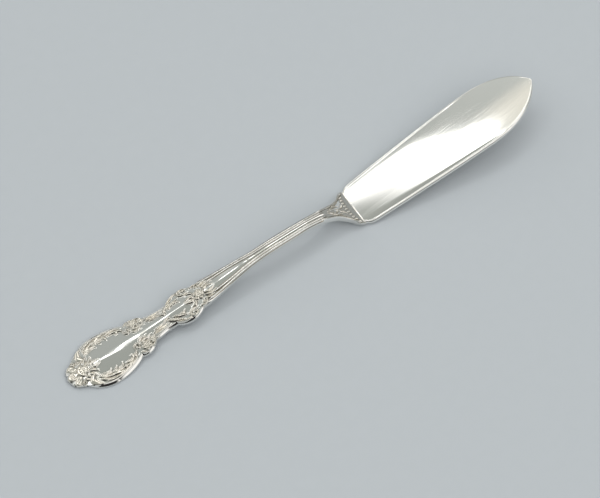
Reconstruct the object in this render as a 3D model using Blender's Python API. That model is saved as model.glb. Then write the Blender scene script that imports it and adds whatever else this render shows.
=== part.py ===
"""Master butter knife: a flat, die-struck handle and a lancet blade soldered into its fan shoulder.

The handle is one lofted solid: a shell-ended panel with a scrolled border, a waist, a leafy bulge, an
arched stem with threaded edges and a fan shoulder. The blade is a thin lancet pitched up from the heel.
Its bent tang goes into a pocket in the shoulder, through a film of hard solder at the heel line.
The knife lies along X as it lies on a table, on the back of its panel and on its heel.
"""
import math

import bmesh
import bpy

# Driving dimensions, in millimetres. MM turns them into metres.
MM = 0.001
OVERALL_LENGTH = 178.0
SHOULDER_STATION = 108.0        # heel face of the shoulder, measured from the shell end
BLADE_PITCH = math.radians(11.0)
CLEARANCE = 0.3                 # gap between neighbouring pieces
SOLDER_FILM = 0.3
SEAM_SPACE = 2.0 * CLEARANCE + SOLDER_FILM

# Outline lobes of the handle: station, half-width, reach towards the shell, reach towards the blade.
SHELL_LOBE = (3.0, 4.75, 4.2, 4.2)
PANEL_LOBE = (13.3, 9.0, 10.5, 15.0)
ROSE_LOBE = (25.8, 6.75, 6.0, 6.0)
LEAF_LOBE = (43.3, 5.75, 6.4, 7.2)
LOBES = (SHELL_LOBE, PANEL_LOBE, ROSE_LOBE, LEAF_LOBE)
# Half-width of the stem that runs under the lobes and flares into the fan shoulder.
STEM_HALF_WIDTHS = ((0.0, 3.0), (31.3, 4.35), (35.4, 3.95), (49.0, 4.25), (55.0, 3.66), (63.0, 2.75),
                    (71.0, 2.12), (84.0, 2.08), (89.0, 1.95), (96.0, 2.2), (100.3, 2.75), (104.2, 4.35),
                    (106.5, 6.2), (108.0, 6.9), (110.0, 6.95))
# Height of the handle's back above the table, and its thickness along the middle.
BACK_HEIGHTS = ((0.0, 0.0), (16.0, 0.0), (27.0, 0.95), (41.0, 2.45), (55.0, 4.35), (68.0, 6.75), (80.0, 7.8),
                (88.0, 7.85), (95.0, 6.8), (100.0, 4.5), (104.0, 1.9), (106.5, 0.35), (108.0, 0.0),
                (110.0, 0.0))
THICKNESSES = ((0.0, 1.4), (6.0, 1.9), (14.0, 2.1), (26.0, 2.1), (36.0, 2.2), (48.0, 2.5), (58.0, 2.4),
               (70.0, 2.2), (84.0, 2.1), (95.0, 2.3), (103.0, 2.6), (106.5, 2.5), (108.0, 2.2), (110.0, 2.2))
SHELL_SAG = 3.4                 # how far the shell end curves back from its tip to its corners
SHELL_SCALLOP = 0.45            # depth of the notches between the shell's flutes
SHELL_BLEND = 12.0              # station where the cross-sections become straight
LOFT_END = 109.5                # the loft runs past the heel and is trimmed there
EDGE_DROP, EDGE_START = 0.75, 0.86    # rounding of the upper edge, and the share of the width where it starts
# Plain panel: its half-width along the handle, under a low roof with a rounded ridge.
PANEL_HALF_WIDTHS = ((9.0, 1.0), (11.5, 4.0), (15.0, 5.3), (20.0, 4.6), (25.0, 2.9), (30.0, 2.1), (37.0, 1.7),
                     (42.0, 2.1), (45.0, 1.0), (46.0, 0.6))
PANEL_SLOPE, RIDGE_ROUNDING = 0.17, 0.4
# Leafy border between the panel and the rim: its place across, and leaves that lean outwards to the blade.
BORDER_PLACE, BORDER_REACH, BORDER_HEIGHT = 0.78, 0.22, 0.5
BORDER_SPAN, BORDER_FADE = (5.0, 47.0), 3.0
LEAF_PITCH, LEAF_LEAN, LEAF_DEPTH = 3.7, 0.5, 0.35
# Shell end: number and height of its flutes, and the stations over which they fade.
SHELL_FLUTES, FLUTE_HEIGHT, FLUTE_FADE = 3, 0.45, (2.0, 5.5)
# Threads along the stem: place across, half-width across, height, first and last station.
THREADS = ((0.85, 0.13, 0.30, 50.0, 99.0), (0.58, 0.13, 0.27, 54.0, 89.0), (0.30, 0.13, 0.22, 66.0, 99.0),
           (0.90, 0.11, 0.45, 96.0, 107.5))
THREAD_FADE = 2.5
# Long leaf on the stem, from its root to its point, with a keel along the middle.
STEM_LEAF, STEM_LEAF_FADE = (50.0, 72.0), 3.0
STEM_LEAF_REACH, STEM_LEAF_HEIGHT, STEM_LEAF_POINT = 0.5, 0.3, 0.12
# Flowers: station, offset from the middle, radius, height and number of petals.
ROSES = ((6.0, 0.0, 2.4, 0.65, 6), (26.5, 4.5, 2.1, 0.55, 5), (26.5, -4.5, 2.1, 0.55, 5),
         (49.0, 0.0, 2.3, 0.65, 5))
PETAL_DEPTH = 0.3
HANDLE_ROWS, HANDLE_COLUMNS = 150, 26
ROW_CROWDING = 0.45             # how far the rows crowd towards the ornament at the shell end

# Blade, in its own pitched frame with X from the heel face of the shoulder.
BLADE_LENGTH = (OVERALL_LENGTH - SHOULDER_STATION) / math.cos(BLADE_PITCH) - SEAM_SPACE
HEEL_HALF_WIDTH = 7.95          # where the two edges would meet the heel without their corner radius
MAX_HALF_WIDTH, MAX_STATION = 10.25, 48.0
EDGE_SWELL = 1.25               # power of the swelling from the heel to the widest place
TIP_POWER, TIP_ROUNDNESS = 2.4, 0.69
TIP_HALF_WIDTH = 0.25
CORNER_CUT, CORNER_REACH = 0.14, 0.9
BODY_THICKNESS, BODY_TAPER = 1.5, 0.2
THINNING_START, THINNING = 45.0, 0.3    # the blade thins further over its last third
FACE_BOW = 0.008                # bend of the upper face across, per millimetre
# The edge is rounded in two facets: inset where each starts, and fall across the face from there.
FACET_INSETS, FACET_SLOPES = (0.95, 0.36), (0.42, 1.5)
EDGE_INSETS = (FACET_INSETS[0], 0.65, FACET_INSETS[1], 0.18, 0.0)    # columns of the edge
FULL_FACET_WIDTH = 2.6          # half-width under which the facets shrink with the tip
FACE_COLUMNS = 6                # columns on each half of the face
BLADE_ROWS, BLADE_COLUMNS = 56, 2 * (FACE_COLUMNS + len(EDGE_INSETS) - 1)

# Tang: a strip that leaves the heel flat and bends up into the neck.
TANG_THICKNESS, TANG_HALF_WIDTH, TANG_HEIGHT = 0.7, 2.0, 1.05
TANG_ROOT, TANG_REACH = 2.4, 4.4
TANG_BEND = BLADE_PITCH + math.radians(28.0)
SEAM_HALF_WIDTH, SEAM_BOTTOM, SEAM_TOP = 6.5, 0.1, 2.0
TRIM_LOW, TRIM_HIGH = (0.0, -12.0, -6.0), (8.0, 12.0, 6.0)    # block that squares the shoulder at the heel


def smooth(points, station):
    """Value at a station of a curve through (station, value) points that never overshoots them."""
    for index in range(len(points) - 1):
        if station <= points[index + 1][0]:
            break
    slopes = [(b[1] - a[1]) / (b[0] - a[0]) for a, b in zip(points, points[1:])]

    def tangent(knot):
        """Harmonic mean of the slopes on both sides of a knot, flat at a peak."""
        before = slopes[max(knot - 1, 0)]
        after = slopes[min(knot, len(slopes) - 1)]
        return 0.0 if before * after <= 0.0 else 2.0 * before * after / (before + after)

    (x0, y0), (x1, y1) = points[index], points[index + 1]
    t = min(max((station - x0) / (x1 - x0), 0.0), 1.0)
    rise = (x1 - x0) * (t * (1 - t) ** 2 * tangent(index) - t * t * (1 - t) * tangent(index + 1))
    return y0 + (y1 - y0) * t * t * (3 - 2 * t) + rise


def bump(q):
    """A rounded ridge of height 1 and half-width 1."""
    return max(0.0, 1.0 - q * q) ** 2


def fade(low, high, value):
    """0 below low, 1 above high, smooth between them."""
    t = min(max((value - low) / (high - low), 0.0), 1.0)
    return t * t * (3 - 2 * t)


def half_width(station):
    """Half-width of the handle: the stem, or the widest lobe there, so the lobes meet in notches."""
    widths = [smooth(STEM_HALF_WIDTHS, station)]
    for place, width, back, front in LOBES:
        reach = back if station < place else front
        widths.append(width * math.sqrt(max(0.0, 1.0 - ((station - place) / reach) ** 2)))
    return max(widths)


def flutes(across):
    """Flutes of the shell at a place across it: 1 on their crests, 0 in the notches between them."""
    return abs(math.cos(SHELL_FLUTES * math.pi / 2 * across))


def shell_end(across):
    """Set-back of the shell end at a place across it: an arc with a scallop for each flute."""
    return SHELL_SAG * abs(across) ** 3 + SHELL_SCALLOP * (1.0 - flutes(across))


def span(first, last, ends, station):
    """1 between two stations, fading to 0 over the given length at both ends."""
    return fade(first, first + ends, station) * (1.0 - fade(last - ends, last, station))


def panel_height(station, y):
    """Roof of the plain panel: two even slopes that meet in a rounded ridge."""
    if not PANEL_HALF_WIDTHS[0][0] < station < PANEL_HALF_WIDTHS[-1][0]:
        return 0.0
    half = smooth(PANEL_HALF_WIDTHS, station)
    return PANEL_SLOPE * max(0.0, half - math.hypot(y, RIDGE_ROUNDING))


def border_height(station, edge):
    """Leafy border: a rounded band with a leaf in each pitch, leaning outwards to the blade."""
    leaf = math.cos(2.0 * math.pi * (station / LEAF_PITCH - LEAF_LEAN * (edge - BORDER_PLACE) / BORDER_REACH))
    band = span(*BORDER_SPAN, BORDER_FADE, station) * bump((edge - BORDER_PLACE) / BORDER_REACH)
    return BORDER_HEIGHT * band * (1.0 + LEAF_DEPTH * leaf)


def stem_height(station, edge):
    """Threads along the stem and the keeled leaf between them."""
    height = 0.0
    for place, reach, rise, first, last in THREADS:
        height = max(height, rise * span(first, last, THREAD_FADE, station) * bump((edge - place) / reach))
    reach = max(STEM_LEAF_POINT, STEM_LEAF_REACH * math.sqrt(1.0 - fade(*STEM_LEAF, station)))
    root = fade(STEM_LEAF[0], STEM_LEAF[0] + STEM_LEAF_FADE, station)
    keel = root * (1.0 - fade(*STEM_LEAF, station)) * max(0.0, 1.0 - edge / reach)
    return max(height, STEM_LEAF_HEIGHT * keel)


def rose_height(station, y, rose):
    """Flower: a rounded boss whose sides are drawn in between its petals."""
    place, offset, radius, height, petals = rose
    turn = math.atan2(y - offset, station - place)
    q = math.hypot(station - place, y - offset) / radius
    return height * bump(q) * (1.0 + PETAL_DEPTH * min(1.0, q) * math.cos(petals * turn))


def handle_relief(station, across, y):
    """Height of the struck ornament at one place of the handle's upper side."""
    edge = abs(across)
    relief = max(panel_height(station, y), border_height(station, edge), stem_height(station, edge))
    shell = FLUTE_HEIGHT * (1.0 - fade(*FLUTE_FADE, station)) * flutes(across)
    relief = max(relief, shell, *(rose_height(station, y, rose) for rose in ROSES))
    return relief - EDGE_DROP * fade(EDGE_START, 1.0, edge)


def handle_point(u, v, upper):
    """Point of the handle at u from the shell (0) to the heel (1) and v across it from -1 to 1."""
    across = math.sin(v * math.pi / 2)
    row = LOFT_END * ((1.0 - ROW_CROWDING) * u + ROW_CROWDING * u * u)
    blend = max(0.0, 1.0 - row / SHELL_BLEND) ** 2
    station = row + shell_end(across) * blend
    y = across * half_width(row + shell_end(1.0) * blend)
    z = smooth(BACK_HEIGHTS, station)
    if upper:
        z += smooth(THICKNESSES, station) + handle_relief(station, across, y)
    return (station - OVERALL_LENGTH / 2) * MM, y * MM, z * MM


def blade_half_width(x):
    """Half-width of the blade: edges that swell to the widest place, then close in a rounded lancet tip."""
    if x < MAX_STATION:
        swell = 1.0 - (1.0 - x / MAX_STATION) ** EDGE_SWELL
        width = HEEL_HALF_WIDTH + (MAX_HALF_WIDTH - HEEL_HALF_WIDTH) * swell
    else:
        run = (x - MAX_STATION) / (BLADE_LENGTH - MAX_STATION)
        width = MAX_HALF_WIDTH * max(0.0, 1.0 - run ** TIP_POWER) ** TIP_ROUNDNESS
    return max(TIP_HALF_WIDTH, width * (1.0 - CORNER_CUT * math.exp(-x / CORNER_REACH)))


def blade_point(u, v, upper):
    """Point of the blade in its own frame: flat back, bowed upper face and an edge of two facets."""
    x = BLADE_LENGTH * (1.0 - math.cos(math.pi * u)) / 2
    width = blade_half_width(x)
    scale = min(1.0, width / FULL_FACET_WIDTH)
    column = round(abs(v) * BLADE_COLUMNS / 2)
    face_edge = width - EDGE_INSETS[0] * scale
    if column <= FACE_COLUMNS:
        y = face_edge * column / FACE_COLUMNS
    else:
        y = width - EDGE_INSETS[column - FACE_COLUMNS] * scale
    z = 0.0
    if upper:
        run = max(0.0, (x - THINNING_START) / (BLADE_LENGTH - THINNING_START))
        z = BODY_THICKNESS - BODY_TAPER * x / BLADE_LENGTH - THINNING * run * run - FACE_BOW * y * y / 2
        inset = width - y
        for start, slope, before in zip(FACET_INSETS, FACET_SLOPES, (0.0, *FACET_SLOPES)):
            z -= (slope - before) * max(0.0, start * scale - inset)
    return (SEAM_SPACE + x) * MM, math.copysign(y, v) * MM, z * MM


def new_object(name, collection, build, parent=None):
    """Object whose mesh is made by build(bm), with its faces turned outwards."""
    bm = bmesh.new()
    build(bm)
    bmesh.ops.recalc_face_normals(bm, faces=bm.faces[:])
    mesh = bpy.data.meshes.new(name)
    bm.to_mesh(mesh)
    bm.free()
    obj = bpy.data.objects.new(name, mesh)
    obj.parent = parent
    collection.objects.link(obj)
    return obj


def lofted(rows, columns, place):
    """Builder of a closed loft: a grid thickened to an upper and a lower side, placed by place().

    The back is straight across, so its faces are joined into one strip for each row.
    """
    def build(bm):
        bmesh.ops.create_grid(bm, x_segments=rows, y_segments=columns, size=1.0)
        lower = bm.verts[:]
        rails = [edge for edge in bm.edges if not edge.is_boundary and math.isclose(
            edge.verts[0].co.y, edge.verts[1].co.y, abs_tol=1.0 / (2 * columns))]
        sheet = bmesh.ops.extrude_face_region(bm, geom=bm.faces[:])
        upper = [item for item in sheet["geom"] if isinstance(item, bmesh.types.BMVert)]
        for side, verts in enumerate((lower, upper)):
            for vert in verts:
                vert.co = place((vert.co.x + 1.0) / 2, vert.co.y, side == 1)
        bmesh.ops.dissolve_edges(bm, edges=rails, use_verts=True)
    return build


def block(low, high):
    """Builder of a box between two corners."""
    def build(bm):
        for vert in bmesh.ops.create_cube(bm, size=1.0)["verts"]:
            vert.co = [((a + b) / 2 + (b - a) * c) * MM for a, b, c in zip(low, high, vert.co)]
    return build


def bent_strip(half_thickness, strip_half_width, reach):
    """Builder of the tang's strip: flat through the heel, then bent up along the neck."""
    def build(bm):
        lean = half_thickness * math.tan(TANG_BEND / 2)
        back = (-reach * math.cos(TANG_BEND), TANG_HEIGHT + reach * math.sin(TANG_BEND))
        step = (half_thickness * math.sin(TANG_BEND), half_thickness * math.cos(TANG_BEND))
        outline = ((TANG_ROOT, TANG_HEIGHT - half_thickness), (TANG_ROOT, TANG_HEIGHT + half_thickness),
                   (lean, TANG_HEIGHT + half_thickness), (back[0] + step[0], back[1] + step[1]),
                   (back[0] - step[0], back[1] - step[1]), (-lean, TANG_HEIGHT - half_thickness))
        rim = [bm.verts.new((x * MM, -strip_half_width * MM, z * MM)) for x, z in outline]
        side = bm.faces.new(rim)
        swept = bmesh.ops.extrude_face_region(bm, geom=[side])
        moved = [item for item in swept["geom"] if isinstance(item, bmesh.types.BMVert)]
        bmesh.ops.translate(bm, verts=moved, vec=(0.0, 2.0 * strip_half_width * MM, 0.0))
    return build


def cut(obj, tool, operation="DIFFERENCE"):
    """Exact Boolean of an object with a hidden tool object."""
    modifier = obj.modifiers.new(f"{operation.lower()}_{tool.name}", "BOOLEAN")
    modifier.operation = operation
    modifier.solver = "EXACT"
    modifier.object = tool
    tool.hide_render = True
    tool.display_type = "WIRE"


def finish(obj, name, colour, roughness, sharp):
    """Give an object its own metal and shade its curved faces smooth."""
    material = bpy.data.materials.new(name)
    material.use_nodes = True
    shader = material.node_tree.nodes["Principled BSDF"]
    shader.inputs["Base Color"].default_value = (*colour, 1.0)
    shader.inputs["Metallic"].default_value = 1.0
    shader.inputs["Roughness"].default_value = roughness
    obj.data.materials.append(material)
    obj.data.shade_smooth()
    obj.data.set_sharp_from_angle(angle=math.radians(sharp))


def main():
    """Build the three pieces, with the blade's pieces on an empty at the heel."""
    for obj in list(bpy.data.objects):
        bpy.data.objects.remove(obj, do_unlink=True)
    knife = bpy.data.collections.new("master_butter_knife")
    tools = bpy.data.collections.new("cutters")
    for collection in (knife, tools):
        bpy.context.scene.collection.children.link(collection)

    heel = bpy.data.objects.new("heel_frame", None)
    heel.location.x = (SHOULDER_STATION - OVERALL_LENGTH / 2) * MM
    heel.rotation_euler.y = -BLADE_PITCH
    knife.objects.link(heel)

    handle = new_object("handle", knife, lofted(HANDLE_ROWS, HANDLE_COLUMNS, handle_point))
    blade = new_object("blade", knife, lofted(BLADE_ROWS, BLADE_COLUMNS, blade_point), heel)
    film = block((CLEARANCE, -SEAM_HALF_WIDTH, SEAM_BOTTOM),
                 (CLEARANCE + SOLDER_FILM, SEAM_HALF_WIDTH, SEAM_TOP))
    seam = new_object("solder_seam", knife, film, heel)

    half = TANG_THICKNESS / 2
    tang = new_object("tang", tools, bent_strip(half, TANG_HALF_WIDTH, TANG_REACH), heel)
    room = bent_strip(half + CLEARANCE, TANG_HALF_WIDTH + CLEARANCE, TANG_REACH + CLEARANCE)
    pocket = new_object("tang_pocket", tools, room, heel)
    trim = new_object("heel_trim", tools, block(TRIM_LOW, TRIM_HIGH), heel)

    cut(handle, trim)
    cut(handle, pocket)
    cut(seam, pocket)
    cut(blade, tang, "UNION")

    finish(handle, "struck_silver_plate", (0.86, 0.84, 0.80), 0.16, 40)
    finish(blade, "polished_silver_plate", (0.90, 0.89, 0.86), 0.10, 30)
    finish(seam, "hard_solder", (0.80, 0.78, 0.72), 0.30, 30)


main()
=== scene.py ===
"""Looks of a master butter knife: struck, silver-plated handle, buffed blade and the solder line at the heel.

Every piece is a surface on a grid of stations along the knife and places across it, worked out with numpy
in millimetres. Station 0 is the handle's shell end, and the frame gives both ends and the heel.
"""
import math

import bpy
import numpy as np
from mathutils import Matrix, Vector


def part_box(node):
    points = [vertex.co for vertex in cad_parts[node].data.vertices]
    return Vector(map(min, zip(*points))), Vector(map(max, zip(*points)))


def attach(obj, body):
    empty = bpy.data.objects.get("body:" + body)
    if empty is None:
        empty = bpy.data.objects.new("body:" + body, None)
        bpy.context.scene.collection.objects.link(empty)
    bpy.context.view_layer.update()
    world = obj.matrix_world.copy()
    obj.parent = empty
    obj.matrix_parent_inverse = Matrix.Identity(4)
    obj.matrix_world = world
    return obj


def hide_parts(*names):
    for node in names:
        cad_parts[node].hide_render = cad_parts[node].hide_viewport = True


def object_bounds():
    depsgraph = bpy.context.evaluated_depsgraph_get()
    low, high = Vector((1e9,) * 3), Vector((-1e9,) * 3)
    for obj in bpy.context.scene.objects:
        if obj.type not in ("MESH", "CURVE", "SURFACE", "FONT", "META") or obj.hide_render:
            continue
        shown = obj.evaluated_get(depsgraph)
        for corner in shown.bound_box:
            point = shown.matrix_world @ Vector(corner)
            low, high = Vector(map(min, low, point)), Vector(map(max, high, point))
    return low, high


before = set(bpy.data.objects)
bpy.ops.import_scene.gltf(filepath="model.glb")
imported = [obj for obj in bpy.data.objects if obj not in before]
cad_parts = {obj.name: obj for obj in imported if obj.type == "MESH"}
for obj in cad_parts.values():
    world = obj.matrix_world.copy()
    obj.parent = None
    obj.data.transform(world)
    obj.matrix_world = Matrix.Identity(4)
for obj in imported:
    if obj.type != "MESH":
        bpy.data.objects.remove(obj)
CAD_BOX = [list(corner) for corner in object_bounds()]

bl_info = {
    "name": "Master butter knife",
    "version": (1, 0, 0),
    "blender": (4, 5, 0),
    "location": "View3D > Sidebar > Butter knife",
    "description": "Silver-plated master butter knife with a struck rococo handle",
    "category": "Add Mesh",
}

MM = 0.001

# Driving places along the knife, in millimetres from the shell end, read from the frame.
START = CAD_BOX[0][0] / MM
LENGTH = CAD_BOX[1][0] / MM - START
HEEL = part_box("handle")[1].x / MM - START
PITCH = math.radians(11.0)
# Room that the CAD leaves for the seam, and how far handle and blade close it here.
SEAM_SPACE, HANDLE_LAP, BLADE_LAP = 0.9, 0.33, 0.40
BLADE_LENGTH = (LENGTH - HEEL) / math.cos(PITCH) - SEAM_SPACE

# Handle outline: lobes as station, half-width, reach to the shell, reach to the blade, over a tapering stem.
LOBES = ((3.0, 4.75, 4.2, 4.2), (13.3, 9.0, 10.5, 15.0), (25.8, 6.75, 6.0, 6.0), (43.3, 5.75, 6.4, 7.2))
STEM_HALF_WIDTHS = ((0.0, 3.0), (31.3, 4.35), (35.4, 3.95), (49.0, 4.25), (55.0, 3.66), (63.0, 2.75),
                    (71.0, 2.12), (84.0, 2.08), (89.0, 1.95), (96.0, 2.2), (100.3, 2.75), (104.2, 4.35),
                    (106.5, 6.2), (108.0, 6.9), (110.0, 6.95))
# Shell end: set-back of its corners, depth of its scallops, and the station where both are gone.
SHELL_SAG, SHELL_SCALLOP, SHELL_BLEND = 3.4, 0.45, 12.0
# Height of the back over the table, thickness of the sheet, and where rows start to lean to the heel's plane.
BACK_HEIGHTS = ((0.0, 0.0), (16.0, 0.0), (27.0, 0.95), (41.0, 2.45), (55.0, 4.35), (68.0, 6.75), (80.0, 7.8),
                (88.0, 7.85), (95.0, 6.8), (100.0, 4.5), (104.0, 1.9), (106.5, 0.35), (108.0, 0.0),
                (110.0, 0.0))
THICKNESSES = ((0.0, 1.4), (6.0, 1.9), (14.0, 2.1), (26.0, 2.1), (36.0, 2.2), (48.0, 2.5), (58.0, 2.4),
               (70.0, 2.2), (84.0, 2.1), (95.0, 2.3), (103.0, 2.6), (106.5, 2.5), (107.25, 2.3), (108.0, 1.9),
               (109.5, 0.95))
LEAN_START = 100.0
# Rounded upper edge: how far it reaches inwards, its fall as a share of the setting, and its bend.
EDGE_RADII = ((0.0, 0.6), (6.0, 0.9), (24.0, 0.9), (31.0, 0.6), (38.0, 0.7), (46.0, 0.7), (53.0, 0.4),
              (110.0, 0.4))
EDGE_FALLS = ((0.0, 0.5), (6.0, 0.9), (24.0, 0.9), (31.0, 0.6), (38.0, 0.7), (46.0, 0.7), (53.0, 0.18),
              (110.0, 0.18))
EDGE_BEND = 0.3
# Wall under it: shares of its height, then the radius and the bend of its lower corner.
WALL_LEVELS, FOOT_RADIUS, FOOT_BEND = (0.25, 0.5, 0.75), 0.3, 0.09
# Rows as first station and count, closest where the ornament is finest, and columns of half the face.
HANDLE_ROWS = ((0.0, 14), (1.0, 490), (55.0, 84), (97.0, 76))
HANDLE_COLUMNS = 61
# Columns of half the back, and the share of its half-width where the first one lies.
BACK_COLUMNS, BACK_EDGE = 5, 0.8

# Plain panel: height of its ridge along the handle, and how widely the ridge is rounded.
PANEL_RIDGE = ((8.0, 0.26), (11.0, 0.41), (13.0, 0.54), (15.0, 0.68), (17.0, 0.79), (19.0, 0.84),
               (21.0, 0.85), (25.0, 0.81), (31.0, 0.64), (37.0, 0.45), (43.0, 0.28), (46.5, 0.1))
PANEL_BEND = ((9.0, 0.2), (12.0, 0.25), (16.0, 0.6), (20.0, 0.8), (24.0, 0.65), (28.0, 0.36), (36.0, 0.2),
              (47.0, 0.15))
# Roof of the stem in the same way.
STEM_RIDGE = ((47.0, 0.1), (53.0, 0.34), (62.0, 0.34), (67.0, 0.36), (71.0, 0.24), (80.0, 0.26), (96.0, 0.3),
              (103.0, 0.1))
STEM_BEND = ((49.0, 0.26), (70.0, 0.2), (103.0, 0.2))
RIDGE_FADE = 2.0
# Ground that the ornament stands on: how widely its crown is rounded, and where it gives way to the flat fan.
GROUND_BEND, GROUND_END = 1.2, (96.0, 103.0)
# Toned recesses and chased area: passes of softening, and the depth or height that counts in full.
RECESS_PASSES, RECESS_DEPTH = 10, 0.2
CHASED_PASSES, CHASED_HEIGHT = 8, 0.15

# Blade outline in its own frame, with x from the heel: swelling edges, lancet tip and cut corners.
HEEL_HALF_WIDTH, MAX_HALF_WIDTH, MAX_STATION, EDGE_SWELL = 7.95, 10.25, 48.0, 1.25
TIP_POWER, TIP_ROUNDNESS, TIP_HALF_WIDTH = 2.4, 0.69, 0.25
CORNER_CUT, CORNER_REACH = 0.14, 0.9
# Thickness at the heel, and how much of it is lost up to the tip.
BODY_THICKNESS, BODY_TAPER = 1.5, 0.2
# Edge of the blade: insets where its raised rim, its bevel and its steep edge start, slopes and roundings.
FACET_INSETS, FACET_SLOPES, FACET_BEND, LIP = (0.95, 0.55, 0.25), (-0.3, 0.4, 1.6), 0.03, 0.12
# Half-width under which the edge shrinks with the tip, and where the rim on the far side fades out.
FULL_EDGE_WIDTH, RIM_END = 2.6, (34.0, 58.0)
# Roll of the near edge: where it starts at the heel, how much further out per millimetre, and its bend.
ROLL_START, ROLL_RUN, ROLL_BEND = 4.8, 0.075, 0.06
# Waves that the buffing wheel leaves in the face: height, length along, length across and phase.
BUFF_WAVES = ((0.006, 83.0, 12.5, 0.4), (0.003, 47.0, -7.5, 2.1), (0.0008, 17.0, 26.0, 1.0))
# Rows and the share of even spacing in them, columns of half the face, and insets of the columns at its edge.
BLADE_ROWS, ROW_EVENNESS, FACE_COLUMNS = 221, 0.45, 34
EDGE_COLUMNS = (2.0, 1.5, 1.2, 1.07, 1.0, 0.96, 0.92, 0.85, 0.7, 0.55, 0.44, 0.39, 0.35, 0.31, 0.26, 0.2,
                0.14, 0.1, 0.06, 0.03, 0.01, 0.0)
# Wall under the edge: shares of its height, and the chamfer at its foot.
BLADE_LEVELS, BLADE_FOOT = (0.4, 0.7), 0.12
# Columns of the flat back, and the share of its half-width where the first and the last one lie.
BLADE_BACK_COLUMNS, BLADE_BACK_EDGE = 7, 0.75

# Solder line: half-length, x and z of its middle in the blade's frame, its radii, and how bluntly it ends.
SEAM_HALF_LENGTH, SEAM_MIDDLE, SEAM_RADII, SEAM_END_POWER = 7.05, (0.41, 0.85), (0.15, 0.66), 12
SEAM_ROWS, SEAM_RING = 61, 24

# Leaf strokes on half of the handle as (station, y) points with a half-width and a height share.
LEAVES = (
    # Ribs of the shell
    (((0.8, 0.0), (2.0, 0.0), (3.4, 0.0)), 0.20, 0.95),
    (((0.9, 0.62), (2.1, 0.5), (3.3, 0.3)), 0.20, 0.95),
    (((2.0, 3.1), (2.8, 2.4), (3.8, 1.6)), 0.22, 0.95),
    # First leaf of the border: two long blades and a hook into the panel
    (((8.8, 5.5), (10.4, 6.7), (13.2, 7.7)), 0.48, 1.0),
    (((8.8, 4.5), (10.9, 5.9), (15.0, 7.2)), 0.58, 1.0),
    (((9.4, 4.4), (11.2, 5.2), (12.8, 5.1), (13.4, 4.4)), 0.48, 1.0),
    # Second leaf, with an upright thorn
    (((12.6, 6.3), (14.8, 6.9), (17.9, 7.4)), 0.45, 0.9),
    (((13.2, 5.7), (15.0, 6.2), (16.8, 5.8), (17.4, 4.5)), 0.56, 1.0),
    (((14.2, 5.4), (14.9, 5.2), (15.2, 4.6)), 0.34, 0.9),
    (((16.6, 6.5), (18.2, 6.4), (19.6, 6.7)), 0.40, 0.9),
    # Third leaf, with a curl
    (((17.9, 6.5), (20.0, 6.6), (22.4, 5.9)), 0.48, 0.95),
    (((18.0, 5.5), (19.4, 5.8), (20.9, 5.4), (21.0, 4.5), (20.2, 4.3)), 0.46, 1.0),
    (((21.0, 5.3), (22.3, 4.9), (22.9, 3.9)), 0.48, 1.0),
    # Between shell and shoulder
    (((4.6, 2.7), (5.2, 3.4), (5.9, 4.0)), 0.40, 0.9),
    (((5.6, 2.3), (6.3, 2.8), (6.8, 3.2)), 0.36, 0.9),
    # Leaf tips from the end rose into the panel
    (((7.9, 0.5), (9.6, 0.85), (12.2, 0.4)), 0.42, 0.8),
    (((7.3, 1.2), (8.7, 1.7), (10.2, 2.9)), 0.46, 0.9),
    (((6.9, 2.1), (7.9, 2.9), (8.9, 4.0)), 0.42, 0.9),
    # Leaves round the side roses
    (((24.2, 5.3), (24.8, 6.0), (25.8, 6.3)), 0.40, 0.9),
    (((25.2, 2.9), (26.8, 2.4), (28.4, 2.5), (30.0, 1.9)), 0.38, 0.9),
    (((24.8, 2.2), (26.0, 1.5), (27.4, 1.6), (28.6, 1.2)), 0.34, 0.8),
    (((28.2, 5.6), (29.8, 5.0), (31.2, 3.9)), 0.42, 0.9),
    # Waist
    (((29.8, 3.2), (33.0, 3.1), (37.0, 3.0)), 0.27, 0.9),
    (((30.2, 2.4), (33.5, 2.35), (36.6, 2.2)), 0.26, 0.9),
    (((31.2, 1.7), (33.6, 1.65), (35.4, 1.4)), 0.24, 0.8),
    (((34.8, 1.7), (36.0, 0.95), (36.9, 0.9), (37.4, 1.4)), 0.28, 0.9),
    # Long leaves of the bulge and their hook
    (((36.4, 1.6), (38.4, 2.8), (41.4, 4.2)), 0.50, 1.0),
    (((38.4, 1.5), (40.2, 2.4), (43.0, 3.3)), 0.44, 1.0),
    (((40.6, 2.1), (42.0, 2.2), (42.9, 1.5)), 0.36, 0.9),
    (((47.6, 3.4), (48.8, 3.9), (50.6, 3.4)), 0.40, 0.9),
    # Leaves on both sides of the middle rose
    (((47.2, 0.4), (45.6, 0.7), (43.3, 0.15)), 0.46, 1.0),
    (((47.4, 1.5), (46.3, 2.2), (45.0, 2.3)), 0.46, 0.9),
    (((50.6, 0.5), (52.2, 0.95), (54.6, 0.4)), 0.44, 0.9),
    (((50.5, 1.3), (52.2, 1.9), (54.8, 1.6)), 0.42, 0.9),
    (((49.9, 2.2), (51.4, 2.8), (53.4, 2.7)), 0.40, 0.9),
    # Sprig on the neck
    (((98.2, 0.3), (100.2, 0.7), (102.6, 0.4)), 0.34, 1.0),
    (((99.2, 0.95), (101.2, 1.5), (103.4, 1.5)), 0.34, 1.0),
    (((100.6, 1.7), (102.4, 2.4), (104.4, 3.3)), 0.34, 1.0),
    (((102.8, 0.4), (104.0, 0.8), (105.2, 1.8)), 0.32, 0.9),
)
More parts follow.
